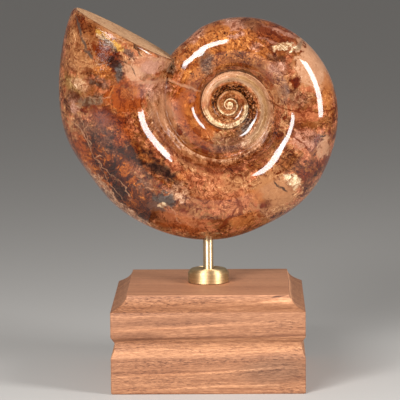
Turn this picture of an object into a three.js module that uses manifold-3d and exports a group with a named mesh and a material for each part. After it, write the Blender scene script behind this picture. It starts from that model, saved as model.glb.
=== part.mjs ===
// Polished Lytoceras ammonite, held upright by a pin on a moulded wooden block.
// Millimetres, +Z up, +X to the right. The side of the fossil seen first faces -Y.
// Origin: middle of the block's underside.
import * as THREE from 'three';
import { mergeVertices } from 'three/addons/utils/BufferGeometryUtils.js';
import Module from 'manifold-3d';

const wasm = await Module();
wasm.setup();

// Room left between pieces that touch
const gap = 0.3;

// Wooden block: two square slabs with a groove between them and a hollow moulding on top
const blockWidth = 75;
const blockHeight = 37.6;
const lowerSlabTop = 14;
const upperSlabBottom = 22.1;
const upperSlabTop = 31.95;
const grooveDepth = 1.45;
const grooveFlatBottom = 17.7;
const grooveFlatTop = 19.9;
const hollowWidth = 6.1;
const hollowBendIn = 0.92;
const hollowBendUp = 0.45;
const hollowSteps = 6;
const edgeBevel = 0.4;

// Pin and the turned collar around its foot
const pinX = -0.2;
const pinRadius = 2;
const pinFoot = 20;
const pinTop = 66;
const pinBevel = 0.4;
const collarRadius = 8.1;
const collarTopRadius = 6.9;
const collarSideHeight = 3.7;
const collarHeight = 5.1;
const collarLedge = 0.25;
const collarBulge = 0.15;
const roundSides = 40;

// Ammonite: an egg-shaped whorl swept along a growing spiral around an axis along Y.
// A place on the spiral is given by `back`, the degrees before the outer corner of the mouth.
const coilX = 8.6;
const coilZ = 108;
const mouthRadius = 72.6;
const mouthAngle = 147.2;
const growthLastTurn = 2.44;
const growthInnerTurns = 2.25;
const lastTurnLength = 350;
const coreBack = 1610;
const coreRadius = 1.6;
const coreHalfThickness = 0.5;
const endReachRatio = 0.06;
const innerEdgeRatio = 0.375;
const halfThicknessRatio = 0.29;
const crestPlace = 0.47;

// The cut face of the mouth leans against the radius of the coil
const mouthLean = 7.8;
const mouthLeanLength = 32;
const mouthEdgeRadius = 1.4;
const mouthEdgeStart = 2;
const mouthEdgeSteps = 4;

// Where grinding and wear left the outline outside (+) or inside (-) the even spiral
const wear = [
  { back: 18, length: 12, height: -0.8 },
  { back: 42, length: 8, height: 0.4 },
  { back: 60, length: 7, height: -0.9 },
  { back: 105, length: 22, height: -0.5 },
  { back: 140, length: 12, height: -1.5 },
  { back: 182, length: 22, height: -1.3 },
  { back: 336, length: 7, height: -0.8 },
];

const toRadians = THREE.MathUtils.degToRad;

function wornBy(back) {
  return wear.reduce((sum, spot) => {
    const away = (back - spot.back) / spot.length;
    return sum + spot.height * Math.exp(-away * away / 2);
  }, 0);
}

function outerRadius(back) {
  const lastTurn = Math.min(back, lastTurnLength);
  const earlier = Math.max(back - lastTurnLength, 0);
  const radius = mouthRadius * growthLastTurn ** (-lastTurn / 360) * growthInnerTurns ** (-earlier / 360);
  return radius + wornBy(back);
}

// One closed ring around the whorl; `inset` shrinks it for the rounded edge of the mouth
function whorlRing(back, sides, inset = 0) {
  const radius = outerRadius(back);
  const towardsMouth = Math.max(1 - back / mouthLeanLength, 0);
  const outerAngle = toRadians(mouthAngle + back);
  const innerAngle = outerAngle - toRadians(mouthLean * towardsMouth ** 2);
  const outer = new THREE.Vector2(Math.cos(outerAngle), Math.sin(outerAngle)).multiplyScalar(radius);
  const inner = new THREE.Vector2(Math.cos(innerAngle), Math.sin(innerAngle));
  inner.multiplyScalar(radius * innerEdgeRatio);
  const height = outer.distanceTo(inner);
  const along = outer.clone().sub(inner).normalize();
  const halfThickness = radius * halfThicknessRatio - inset;
  const ring = [];
  for (let i = 0; i < sides; i += 1) {
    const turn = 2 * Math.PI * i / sides;
    const halfWidth = (Math.cos(turn) > 0 ? 1 - crestPlace : crestPlace) * height - inset;
    const place = inner.clone().addScaledVector(along, crestPlace * height + halfWidth * Math.cos(turn));
    ring.push(new THREE.Vector3(coilX + place.x, -halfThickness * Math.sin(turn), coilZ + place.y));
  }
  return ring;
}

// Middle of an end ring, moved out past it by `reach` away from the ring before it
function capMiddle(ring, ringBefore, reach) {
  const middle = middleOf(ring);
  const out = middle.clone().sub(middleOf(ringBefore)).normalize();
  return middle.addScaledVector(out, reach);
}

function middleOf(ring) {
  const sum = ring.reduce((total, corner) => total.add(corner), new THREE.Vector3());
  return sum.divideScalar(ring.length);
}

// Closed surface through a row of rings with equal numbers of corners
function loft(rings, startReach = 0, endReach = 0) {
  const sides = rings[0].length;
  const corners = rings.flat();
  const triangles = [];
  for (let row = 0; row + 1 < rings.length; row += 1) {
    for (let i = 0; i < sides; i += 1) {
      const next = (i + 1) % sides;
      const a = row * sides + i;
      const b = row * sides + next;
      triangles.push([a, b, b + sides], [a, b + sides, a + sides]);
    }
  }
  const startMiddle = corners.push(capMiddle(rings[0], rings[1], startReach)) - 1;
  const endMiddle = corners.push(capMiddle(rings.at(-1), rings.at(-2), endReach)) - 1;
  const endRow = (rings.length - 1) * sides;
  for (let i = 0; i < sides; i += 1) {
    const next = (i + 1) % sides;
    triangles.push([startMiddle, next, i], [endMiddle, endRow + i, endRow + next]);
  }
  const geometry = new THREE.BufferGeometry().setFromPoints(corners);
  geometry.setIndex(facingOut(corners, triangles).flat());
  return geometry;
}

function facingOut(corners, triangles) {
  const volume = triangles.reduce((sum, [a, b, c]) => {
    return sum + corners[a].dot(corners[b].clone().cross(corners[c]));
  }, 0);
  return volume > 0 ? triangles : triangles.map(([a, b, c]) => [a, c, b]);
}

function solidOf(geometry) {
  geometry.deleteAttribute('normal');
  geometry.deleteAttribute('uv');
  const merged = mergeVertices(geometry);
  return new wasm.Manifold(new wasm.Mesh({
    numProp: 3,
    vertProperties: merged.attributes.position.array,
    triVerts: new Uint32Array(merged.index.array),
  }));
}

function geometryOf(solid) {
  const mesh = solid.getMesh();
  const geometry = new THREE.BufferGeometry();
  geometry.setAttribute('position', new THREE.BufferAttribute(mesh.vertProperties, 3));
  geometry.setIndex(new THREE.BufferAttribute(mesh.triVerts, 1));
  geometry.computeVertexNormals();
  return geometry;
}

function drill(radius, bottom, top) {
  const geometry = new THREE.CylinderGeometry(radius, radius, top - bottom, roundSides);
  geometry.rotateX(Math.PI / 2);
  geometry.translate(pinX, 0, (bottom + top) / 2);
  return solidOf(geometry);
}

// Stretches of the spiral, each under half a turn so that it never meets itself.
// The ends reach into the next stretch, so the joined solid has no face in common between two.
function whorlStretch(fromBack, toBack, steps, sides) {
  const rings = [];
  for (let i = 0; i <= steps; i += 1) {
    rings.push(whorlRing(fromBack + (toBack - fromBack) * i / steps, sides));
  }
  const startReach = endReachRatio * outerRadius(fromBack);
  if (toBack > mouthEdgeStart) {
    return solidOf(loft(rings, startReach, endReachRatio * outerRadius(toBack)));
  }
  return solidOf(loft([...rings, ...mouthEdge(sides)], startReach));
}

function mouthEdge(sides) {
  const rings = [];
  for (let i = 1; i <= mouthEdgeSteps; i += 1) {
    const turn = Math.PI / 2 * i / mouthEdgeSteps;
    const back = mouthEdgeStart * (1 - Math.sin(turn));
    rings.push(whorlRing(back, sides, mouthEdgeRadius * (1 - Math.cos(turn))));
  }
  return rings;
}

// Each stretch: degrees back where it starts and ends, its steps and the corners of its rings
const outerSides = 24;
const innerSides = 16;
const stretches = [
  whorlStretch(175, mouthEdgeStart, 28, outerSides),
  whorlStretch(350, 175, 26, outerSides),
  whorlStretch(525, 350, 22, outerSides),
  whorlStretch(700, 525, 20, outerSides),
  whorlStretch(875, 700, 16, innerSides),
  whorlStretch(1050, 875, 14, innerSides),
  whorlStretch(1225, 1050, 12, innerSides),
  whorlStretch(1400, 1225, 10, innerSides),
  whorlStretch(coreBack, 1400, 10, innerSides),
];
const core = new THREE.SphereGeometry(1, innerSides, innerSides / 2);
core.scale(coreRadius, coreHalfThickness, coreRadius);
core.translate(coilX, 0, coilZ);
const coil = stretches.reduce((whole, stretch) => whole.add(stretch), solidOf(core));
const pinHole = drill(pinRadius + gap, blockHeight, pinTop + gap);
const ammoniteGeometry = geometryOf(coil.subtract(pinHole));

// The hollow moulding bends towards the top edge: its curve is drawn to a point set in and up
// by the two bend shares of its width and height
function hollow(step) {
  const t = step / hollowSteps;
  const run = 2 * t * (1 - t) * hollowBendIn + t * t;
  const rise = 2 * t * (1 - t) * hollowBendUp + t * t;
  return [run * hollowWidth, upperSlabTop + rise * (blockHeight - upperSlabTop)];
}

// Block as square rings from the underside up: [distance in from the sides, height]
const blockProfile = [
  [edgeBevel, 0],
  [0, edgeBevel],
  [0, lowerSlabTop],
  [grooveDepth, grooveFlatBottom],
  [grooveDepth, grooveFlatTop],
  [0, upperSlabBottom],
];
for (let step = 0; step <= hollowSteps; step += 1) {
  blockProfile.push(hollow(step));
}
const blockCorners = [[-1, -1], [1, -1], [1, 1], [-1, 1]];
const blockRings = blockProfile.map(([inset, z]) => {
  const half = blockWidth / 2 - inset;
  return blockCorners.map(([x, y]) => new THREE.Vector3(x * half, y * half, z));
});
const blockHole = drill(pinRadius + gap, pinFoot - gap, blockHeight + 1);
const blockGeometry = geometryOf(solidOf(loft(blockRings)).subtract(blockHole));

function turned(profile, x, z) {
  const geometry = new THREE.LatheGeometry(profile.map(([r, h]) => new THREE.Vector2(r, h)), roundSides);
  geometry.rotateX(Math.PI / 2);
  geometry.translate(x, 0, z);
  return geometry;
}

const pinLength = pinTop - pinFoot;
const pinGeometry = turned([
  [0, 0],
  [pinRadius - pinBevel, 0],
  [pinRadius, pinBevel],
  [pinRadius, pinLength - pinBevel],
  [pinRadius - pinBevel, pinLength],
  [0, pinLength],
], pinX, pinFoot);

const collarBore = pinRadius + gap;
const collarGeometry = turned([
  [collarBore, 0],
  [collarRadius, 0],
  [collarRadius, collarSideHeight],
  [collarRadius - collarLedge, collarSideHeight],
  [(collarRadius + collarTopRadius) / 2, (collarSideHeight + collarHeight) / 2 + collarBulge],
  [collarTopRadius, collarHeight],
  [collarBore, collarHeight],
  [collarBore, 0],
], pinX, blockHeight + gap);

function piece(name, geometry, color, roughness, metalness) {
  const mesh = new THREE.Mesh(geometry, new THREE.MeshStandardMaterial({ color, roughness, metalness }));
  mesh.name = name;
  return mesh;
}

const object = new THREE.Group();
object.name = 'lytoceras_ammonite';
object.add(
  piece('ammonite', ammoniteGeometry, 0xa8683c, 0.15, 0),
  piece('brass_pin', pinGeometry, 0xd9b878, 0.35, 1),
  piece('brass_collar', collarGeometry, 0xd6b473, 0.4, 1),
  piece('wooden_block', blockGeometry, 0xb98260, 0.7, 0),
);

export default object;
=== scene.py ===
# Polished ammonite on a brass pin and a moulded wooden block, in a plain studio.
# Lengths are in millimetres until a mesh or an object is made, which is in metres.
import math
from types import SimpleNamespace

import bpy
import numpy as np
from mathutils import Matrix, Vector


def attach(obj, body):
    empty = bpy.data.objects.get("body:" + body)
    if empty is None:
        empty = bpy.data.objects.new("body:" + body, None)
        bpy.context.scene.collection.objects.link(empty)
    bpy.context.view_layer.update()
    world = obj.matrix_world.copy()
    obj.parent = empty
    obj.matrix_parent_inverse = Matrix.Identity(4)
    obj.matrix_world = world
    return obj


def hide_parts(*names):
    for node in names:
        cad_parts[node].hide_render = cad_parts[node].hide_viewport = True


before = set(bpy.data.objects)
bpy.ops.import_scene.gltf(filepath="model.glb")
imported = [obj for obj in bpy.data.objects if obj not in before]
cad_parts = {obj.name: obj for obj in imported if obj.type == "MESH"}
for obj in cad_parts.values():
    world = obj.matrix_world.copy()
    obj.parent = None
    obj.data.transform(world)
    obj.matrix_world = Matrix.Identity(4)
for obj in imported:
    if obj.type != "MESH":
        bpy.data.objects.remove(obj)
bpy.context.view_layer.update()

MM = 0.001

# Coil of the shell: middle, size and growth, in millimetres and degrees back from the mouth
COIL_X = 8.6
COIL_Z = 108.0
MOUTH_RADIUS = 72.6
MOUTH_ANGLE = 147.2
LAST_TURN = 350.0
GROWTH_LAST_TURN = 2.44
GROWTH_INNER_TURNS = 2.25
INNER_EDGE = 0.375
HALF_THICKNESS = 0.29
CREST = 0.47
LEAN = 7.8
LEAN_LENGTH = 32.0
EDGE_RADIUS = 1.4
EDGE_START = 2.0

# Where grinding and wear left the outline outside (+) or inside (-): degrees back, length, height
WEAR = (
    (18, 12, -0.8),
    (42, 8, 0.4),
    (60, 7, -0.9),
    (105, 22, -0.5),
    (140, 12, -1.5),
    (182, 22, -1.3),
    (336, 7, -0.8),
)

# Fineness of the shell's mesh
COLUMNS_PER_TURN = 240
TURNS = 5.5
SHARED_ROWS = 30
EDGE_COLUMNS = 4
VENTER_ROWS = 8
BLEND_COLUMNS = 16
LAST_COLUMN = int(TURNS * COLUMNS_PER_TURN)
FULL_ROWS = SHARED_ROWS + EDGE_COLUMNS + VENTER_ROWS

# How much closer together the rows lie beside the seams
ROWS_TO_SEAMS = 0.6

# Degrees back that the map gives to the sawn face, where no band of the coil lies
CUT_FACE_BACK = -20.0

# Room left between pieces that touch
GAP = 0.3

# Stand
BLOCK_HALF = 37.5
BLOCK_HEIGHT = 37.6
PIN_X = -0.2
PIN_RADIUS = 2.0
PIN_FOOT = 20.0
PIN_TOP = 66.0
HOLE_RADIUS = PIN_RADIUS + GAP
COLLAR_RADIUS = 8.1
COLLAR_TOP_RADIUS = 6.9
COLLAR_SIDE = 3.7
COLLAR_HEIGHT = 5.1
COLLAR_FOOT = BLOCK_HEIGHT + GAP


# Shape of the shell

def outer_radius(back):
    last = np.minimum(back, LAST_TURN)
    earlier = np.maximum(back - LAST_TURN, 0)
    radius = MOUTH_RADIUS * GROWTH_LAST_TURN ** (-last / 360) * GROWTH_INNER_TURNS ** (-earlier / 360)
    for middle, length, height in WEAR:
        radius = radius + height * np.exp(-(((back - middle) / length) ** 2) / 2)
    return radius


def on_whorl(back, turn, inset=0.0):
    """Points (x, y, z) from the coil's middle, on the front of the whorl.

    turn goes from 0 at the inner edge through a half at the crest to pi at the outer edge.
    """
    back, turn = np.broadcast_arrays(np.asarray(back, float), np.asarray(turn, float))
    radius = outer_radius(back)
    leaning = np.clip(1 - back / LEAN_LENGTH, 0, 1) ** 2
    outer_angle = np.radians(MOUTH_ANGLE + back)
    inner_angle = outer_angle - np.radians(LEAN) * leaning
    outer_x, outer_z = radius * np.cos(outer_angle), radius * np.sin(outer_angle)
    inner_x = INNER_EDGE * radius * np.cos(inner_angle)
    inner_z = INNER_EDGE * radius * np.sin(inner_angle)
    height = np.hypot(outer_x - inner_x, outer_z - inner_z)
    half_width = np.where(np.cos(turn) > 0, CREST, 1 - CREST) * height - inset
    share = (CREST * height - half_width * np.cos(turn)) / height
    x = inner_x + (outer_x - inner_x) * share
    z = inner_z + (outer_z - inner_z) * share
    y = -(HALF_THICKNESS * radius - inset) * np.sin(turn)
    return np.stack([x, y, z], axis=-1)


def seen_from(points, back_near):
    """(back, share of the whorl's height) of points on the whorl whose back is near back_near."""
    angle = np.degrees(np.arctan2(points[..., 2], points[..., 0])) - MOUTH_ANGLE
    back = angle + 360 * np.round((back_near - angle) / 360)
    radius = outer_radius(back)
    distance = np.hypot(points[..., 0], points[..., 2])
    return back, (distance / radius - INNER_EDGE) / (1 - INNER_EDGE)


def turn_at(share):
    reach = np.where(share > CREST, 1 - CREST, CREST)
    return np.arccos(np.clip((CREST - share) / reach, -1, 1))


def share_at(turn):
    """Share of the whorl's height at a turn: the way back from turn_at."""
    cosine = np.cos(turn)
    return CREST - np.where(cosine > 0, CREST, 1 - CREST) * cosine


def halved(low, high, is_past):
    """The values between low and high from which is_past holds, found by halving."""
    for _ in range(50):
        middle = (low + high) / 2
        past = is_past(middle)
        low, high = np.where(past, low, middle), np.where(past, middle, high)
    return (low + high) / 2


def seam_turn(back, inset=0.0):
    """Turn at which the whorl's inner flank meets the whorl inside it."""
    back, inset = np.broadcast_arrays(np.asarray(back, float), np.asarray(inset, float))

    def is_above(turn):
        points = on_whorl(back, turn, inset)
        inside, share = seen_from(points, back + 360)
        under = HALF_THICKNESS * outer_radius(inside) * np.sin(turn_at(np.minimum(share, 1)))
        return -points[..., 1] > under

    return halved(np.zeros(back.shape), np.full(back.shape, math.pi / 2), is_above)


def mouth_line_crossing(turns):
    """Backs at which the whorl inside the mouth crosses the plane of the mouth, for some turns."""
    start, end = on_whorl(0.0, 0.0)[[0, 2]], on_whorl(0.0, math.pi)[[0, 2]]
    along = end - start

    def is_beyond(back):
        away = on_whorl(back, turns)[:, [0, 2]] - start
        return along[0] * away[:, 1] - along[1] * away[:, 0] > 0

    return halved(np.full(len(turns), 335.0), np.full(len(turns), 365.0), is_beyond)


def smooth(share):
    share = np.clip(share, 0, 1)
    return share * share * (3 - 2 * share)


def seam_softness(back):
    """Height over which the whorl at back melts into the one inside it: most at the left and below."""
    melted = smooth((back - 4) / 14) * smooth((215 - back) / 45)
    return outer_radius(back) * smooth((back - EDGE_START) / 8) * (0.03 + 0.10 * melted)


def height_of(points, back_near):
    back, share = seen_from(points, back_near)
    height = HALF_THICKNESS * outer_radius(back) * np.sin(turn_at(share))
    return np.where((share > 0) & (share < 1), height, -100.0)


def melted_seams(points, backs):
    """Raises points of the whorls near their seams, so that the surfaces run into each other softly."""
    own = -points[..., 1]
    inside = height_of(points, backs + 360)
    outside = np.where(backs > 360 + EDGE_START, height_of(points, backs - 360), -100.0)
    raised = own.copy()
    for other, outer_back in ((inside, backs), (outside, backs - 360)):
        softness = np.maximum(seam_softness(np.maximum(outer_back, 0)), 1e-6)
        raised += np.maximum(softness - np.abs(own - other), 0) ** 2 / (4 * softness)
    moved = points.copy()
    moved[..., 1] = -raised
    return moved


class Shell:
    """Collects the corners and faces of the shell's mesh."""

    def __init__(self):
        self.side = 1
        self.on_cut = False
        self.corners = []
        self.cut = []
        self.faces = []
        self.spiral = []
        self.creases = []

    def add(self, points):
        """Adds an array of points and returns their numbers in an array of the same shape."""
        points = np.asarray(points, float)
        first = len(self.corners)
        self.corners.extend(points.reshape(-1, 3).tolist())
        return np.arange(first, len(self.corners)).reshape(points.shape[:-1])

    def add_to_side(self, points):
        return self.add(points * np.array([1, self.side, 1]))

    def grid(self, numbers, backs, shares):
        for i in range(numbers.shape[0] - 1):
            for k in range(numbers.shape[1] - 1):
                corners = ((i, k), (i + 1, k), (i + 1, k + 1), (i, k + 1))
                face, spiral = [], []
                for corner in corners:
                    if numbers[corner] not in face:
                        face.append(int(numbers[corner]))
                        spiral.append((backs[corner] / 360, shares[corner]))
                self.face(face, spiral)

    def fan(self, middle, ring, back, share):
        for a, b in zip(ring[:-1], ring[1:]):
            self.face([int(middle), int(b), int(a)], [(back / 360, share)] * 3)

    def face(self, numbers, spiral):
        """The two sides are mirror images, so the faces of the seen one turn the other way round."""
        self.faces.append(numbers[::-self.side])
        self.spiral.append(spiral[::-self.side])
        self.cut.append(self.on_cut)

    def crease(self, numbers):
        self.creases.extend((int(a), int(b)) for a, b in zip(numbers[:-1], numbers[1:]))

    def drop_unused(self):
        used = sorted({number for face in self.faces for number in face})
        new_number = {old: new for new, old in enumerate(used)}
        self.corners = [self.corners[number] for number in used]
        self.faces = [[new_number[number] for number in face] for face in self.faces]
        self.creases = [(new_number[a], new_number[b]) for a, b in self.creases]


def plan_shell():
    """Backs and turns of the mesh's rows and columns, which both sides share."""
    plan = SimpleNamespace()
    plan.backs = EDGE_START + np.arange(LAST_COLUMN + 1) * 360 / COLUMNS_PER_TURN
    plan.seams = seam_turn(plan.backs)
    plan.seam_points = on_whorl(plan.backs, plan.seams)
    plan.outer_backs, outer_shares = seen_from(plan.seam_points, plan.backs + 360)
    plan.outer_turns = turn_at(outer_shares)
    rows = np.arange(SHARED_ROWS + 1) / SHARED_ROWS
    plan.rows = rows - ROWS_TO_SEAMS * np.sin(2 * math.pi * rows) / (2 * math.pi)
    plan_mouth_edge(plan)
    plan_last_turn(plan)
    return plan


def plan_mouth_edge(plan):
    """The rounded edge of the mouth, whose inner ends lie on the whorl inside it."""
    turns = np.arange(1, EDGE_COLUMNS + 1) / EDGE_COLUMNS * math.pi / 2
    plan.edge_backs = EDGE_START * (1 - np.sin(turns))
    plan.edge_insets = EDGE_RADIUS * (1 - np.cos(turns))
    plan.edge_seams = seam_turn(plan.edge_backs, plan.edge_insets)
    ends = on_whorl(plan.edge_backs, plan.edge_seams, plan.edge_insets)
    plan.under_backs, under_shares = seen_from(ends, plan.edge_backs + 360)
    plan.under_turns = turn_at(under_shares)


def plan_last_turn(plan):
    """The last turn, from its seam to its outer edge. Its end blends into the line under the mouth."""
    end = COLUMNS_PER_TURN
    venter_turns = np.linspace(plan.under_turns[-1], math.pi, VENTER_ROWS + 1)[1:]
    end_backs = np.concatenate([
        plan.backs[end] + plan.rows ** 2 * (plan.outer_backs[0] - plan.backs[end]),
        plan.under_backs,
        mouth_line_crossing(venter_turns),
    ])
    end_turns = np.concatenate([
        plan.seams[end] + plan.rows * (plan.outer_turns[0] - plan.seams[end]),
        plan.under_turns,
        venter_turns,
    ])
    usual_turn = float(np.median(plan.outer_turns))
    outer_part = np.linspace(usual_turn, math.pi, EDGE_COLUMNS + VENTER_ROWS + 1)[1:]
    plan.full_backs = np.repeat(plan.backs[: end + 1, None], FULL_ROWS + 1, axis=1)
    plan.full_turns = np.empty_like(plan.full_backs)
    for column in range(end + 1):
        inner_part = plan.seams[column] + plan.rows * (usual_turn - plan.seams[column])
        plan.full_turns[column] = np.concatenate([inner_part, outer_part])
    for column in range(end - BLEND_COLUMNS, end + 1):
        share = smooth(1 - (end - column) / BLEND_COLUMNS)
        plan.full_backs[column] += share * (end_backs - plan.backs[end])
        plan.full_turns[column] += share * (end_turns - plan.full_turns[column])


def add_last_turn(shell, plan, venter):
    full = np.empty(plan.full_backs.shape, int)
    points = melted_seams(on_whorl(plan.full_backs, plan.full_turns), plan.full_backs)
    full[:, :-1] = shell.add_to_side(points[:, :-1])
    full[:, -1] = venter
    full[COLUMNS_PER_TURN, SHARED_ROWS] = full[0, 0]
    shell.grid(full, plan.full_backs, share_at(plan.full_turns))
    return full


def add_inner_turns(shell, plan, full):
    """The turns inside, each between its own seam and the next turn's, and the middle of the coil."""
    turn = COLUMNS_PER_TURN
    seam = np.empty(LAST_COLUMN + 1, int)
    seam[: turn + 1] = full[:, 0]
    seam[turn + 1:] = shell.add_to_side(melted_seams(plan.seam_points, plan.backs)[turn + 1:])

    own_backs, next_backs = plan.backs[turn:, None], plan.outer_backs[:-turn, None]
    own_turns, next_turns = plan.seams[turn:, None], plan.outer_turns[:-turn, None]
    backs = own_backs + plan.rows ** 2 * (next_backs - own_backs)
    turns = own_turns + plan.rows * (next_turns - own_turns)
    points = melted_seams(on_whorl(backs, turns), backs)
    inner = np.empty(backs.shape, int)
    inner[0] = full[turn, : SHARED_ROWS + 1]
    inner[1:, 1:-1] = shell.add_to_side(points[1:, 1:-1])
    inner[:, 0] = seam[turn:]
    inner[:, -1] = seam[:-turn]
    shell.grid(inner, backs, share_at(turns))

    ring = np.concatenate([seam[-turn - 1:], inner[-1, 1:]])
    depth = np.mean([shell.corners[number][1] for number in ring])
    middle = shell.add(np.array([[0.0, depth, 0.0]]))[0]
    shell.fan(middle, ring, plan.backs[-1], 0.5)
    return seam


def add_mouth_edge(shell, plan, full, edge_venter):
    """The rounded edge of the mouth, from the last turn's first column to the rim of the cut face."""
    start, seam = plan.edge_seams[:, None], plan.seams[0]
    turns = start + (plan.full_turns[0] - seam) * (math.pi - start) / (math.pi - seam)
    points = on_whorl(plan.edge_backs[:, None], turns, plan.edge_insets[:, None])
    edge = np.empty((EDGE_COLUMNS + 1, FULL_ROWS + 1), int)
    edge[0] = full[0]
    edge[1:, 1:-1] = shell.add_to_side(points[:, 1:-1])
    edge[1:, -1] = edge_venter
    edge[1:, 0] = full[COLUMNS_PER_TURN, SHARED_ROWS + 1: SHARED_ROWS + 1 + EDGE_COLUMNS]
    backs = np.repeat(np.concatenate([[EDGE_START], plan.edge_backs])[:, None], FULL_ROWS + 1, axis=1)
    shares = np.repeat(share_at(plan.full_turns[:1]), EDGE_COLUMNS + 1, axis=0)
    shell.grid(edge[::-1], backs[::-1], shares)
    return edge


def add_cut_face(shell, plan, under, rim, on_plane):
    """Half of the flat cut face, from its rim to the plane that both sides share.

    under is the line on the whorl below the mouth, and on_plane the corners that the first side put
    on the shared plane, or None. Returns the corners on that plane.
    """
    under_points = np.array([shell.corners[number] for number in under])
    rim_points = np.array([shell.corners[number] for number in rim])
    depth_shares = under_points[:, 1] / under_points[0, 1]
    fade = (1 - np.arange(len(rim)) / (len(rim) - 1))[:, None, None] ** 3
    points = rim_points[:, None, :] + (under_points - under_points[0]) * fade
    points[:, :, 1] = rim_points[:, None, 1] * depth_shares
    face = np.empty((len(rim), len(under)), int)
    face[:, 0] = rim
    face[0] = under
    face[-1] = rim[-1]
    face[1:-1, 1:-1] = shell.add(points[1:-1, 1:-1])
    if on_plane is None:
        on_plane = shell.add(points[1:-1, -1])
    face[1:-1, -1] = on_plane
    shares = np.repeat(share_at(plan.full_turns[0])[:, None], len(under), axis=1)
    shell.on_cut = True
    shell.grid(face, np.full(face.shape, CUT_FACE_BACK), shares)
    shell.on_cut = False
    return on_plane


def shell_mesh():
    plan = plan_shell()
    shell = Shell()
    venter = shell.add(on_whorl(plan.full_backs[:, -1], math.pi) * [1, 0, 1])
    edge_venter = shell.add(on_whorl(plan.edge_backs, math.pi, plan.edge_insets) * [1, 0, 1])
    on_plane = None
    for side in (1, -1):
        shell.side = side
        full = add_last_turn(shell, plan, venter)
        seam = add_inner_turns(shell, plan, full)
        edge = add_mouth_edge(shell, plan, full, edge_venter)
        under = full[COLUMNS_PER_TURN, SHARED_ROWS + EDGE_COLUMNS:]
        on_plane = add_cut_face(shell, plan, under, edge[-1], on_plane)
        shell.crease(seam)
        shell.crease(full[COLUMNS_PER_TURN, SHARED_ROWS:])
    shell.drop_unused()
    return shell


def new_object(name, corners, faces):
    """A smoothly shaded mesh object at the origin, from corners in millimetres."""
    mesh = bpy.data.meshes.new(name)
    mesh.from_pydata((np.asarray(corners) * MM).tolist(), [], faces)
    mesh.update()
    made = bpy.data.objects.new(name, mesh)
    bpy.context.scene.collection.objects.link(made)
    mesh.polygons.foreach_set("use_smooth", [True] * len(mesh.polygons))
    return made


def face_outwards(mesh):
    """Turns every face of a closed mesh whose faces agree, if together they face inwards."""
    mesh.calc_loop_triangles()
    corners = np.empty(len(mesh.vertices) * 3)
    mesh.vertices.foreach_get("co", corners)
    numbers = np.empty(len(mesh.loop_triangles) * 3, int)
    mesh.loop_triangles.foreach_get("vertices", numbers)
    a, b, c = corners.reshape(-1, 3)[numbers.reshape(-1, 3)].transpose(1, 0, 2)
    if np.sum(a * np.cross(b, c)) < 0:
        mesh.flip_normals()


def make_ammonite():
    shell = shell_mesh()
    corners = np.array(shell.corners) + [COIL_X, 0.0, COIL_Z]
    made = new_object("polished_ammonite", corners, shell.faces)
    mesh = made.data
    spiral_map = mesh.uv_layers.new(name="spiral")
    spiral_map.uv.foreach_set("vector", np.array([pair for face in shell.spiral for pair in face]).ravel())
    creases = {tuple(sorted(pair)) for pair in shell.creases}
    sharp = [tuple(sorted(edge.vertices)) in creases for edge in mesh.edges]
    mesh.attributes.new("sharp_edge", "BOOLEAN", "EDGE").data.foreach_set("value", sharp)
    mesh.polygons.foreach_set("material_index", np.array(shell.cut, int))
    face_outwards(mesh)
    return made


# Shape of the stand

def softened(profile, radius):
    """The profile with each corner between its ends rounded to about this radius."""
    points = [np.array(point, float) for point in profile]
    made = [points[0]]
    for before, corner, after in zip(points[:-2], points[1:-1], points[2:]):
        reach = min(radius, np.linalg.norm(before - corner) / 3, np.linalg.norm(after - corner) / 3)
        start = corner + (before - corner) / np.linalg.norm(before - corner) * reach
        end = corner + (after - corner) / np.linalg.norm(after - corner) * reach
        made += [start, (start + end + 2 * corner) / 4, end]
    return made + [points[-1]]


def loft(rings, looped=False):
    """Faces through rings with equal numbers of corners, closed by end faces unless looped."""
    count = len(rings[0])
    corners = [corner for ring in rings for corner in ring]
    faces = []
    for row in range(len(rings) - (0 if looped else 1)):
        above = (row + 1) % len(rings)
        for k in range(count):
            k_next = (k + 1) % count
            faces.append([row * count + k, row * count + k_next, above * count + k_next, above * count + k])
    if not looped:
        faces.append(list(range(count))[::-1])
        faces.append([(len(rings) - 1) * count + k for k in range(count)])
    return corners, faces


def finish_piece(made, node, sharp_degrees):
    made.data.set_sharp_from_angle(angle=math.radians(sharp_degrees))
    face_outwards(made.data)
    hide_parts(node)
    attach(made, "root")


def turned_piece(name, node, profile, z, segments, looped):
    rings = []
    for radius, height in profile:
        angles = [2 * math.pi * k / segments for k in range(segments)]
        rings.append([(PIN_X + radius * math.cos(a), radius * math.sin(a), z + height) for a in angles])
    corners, faces = loft(rings, looped)
    made = new_object(name, corners, faces)
    finish_piece(made, node, sharp_degrees=28)
    return made


def square_ring(half, corner_radius, z):
    """64 points round a square with rounded corners."""
    points = []
    for quarter in range(4):
        start = quarter * math.pi / 2
        turn = Matrix.Rotation(start, 2)
        middle = half - corner_radius
        for k in range(12):
            points.append(turn @ Vector((half, -middle + 2 * middle * k / 12)))
        for k in range(4):
            angle = math.pi / 2 * k / 4
            corner = Vector((math.cos(angle), math.sin(angle))) * corner_radius
            points.append(turn @ (Vector((middle, middle)) + corner))
    return [(point.x, point.y, z) for point in points]


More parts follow.
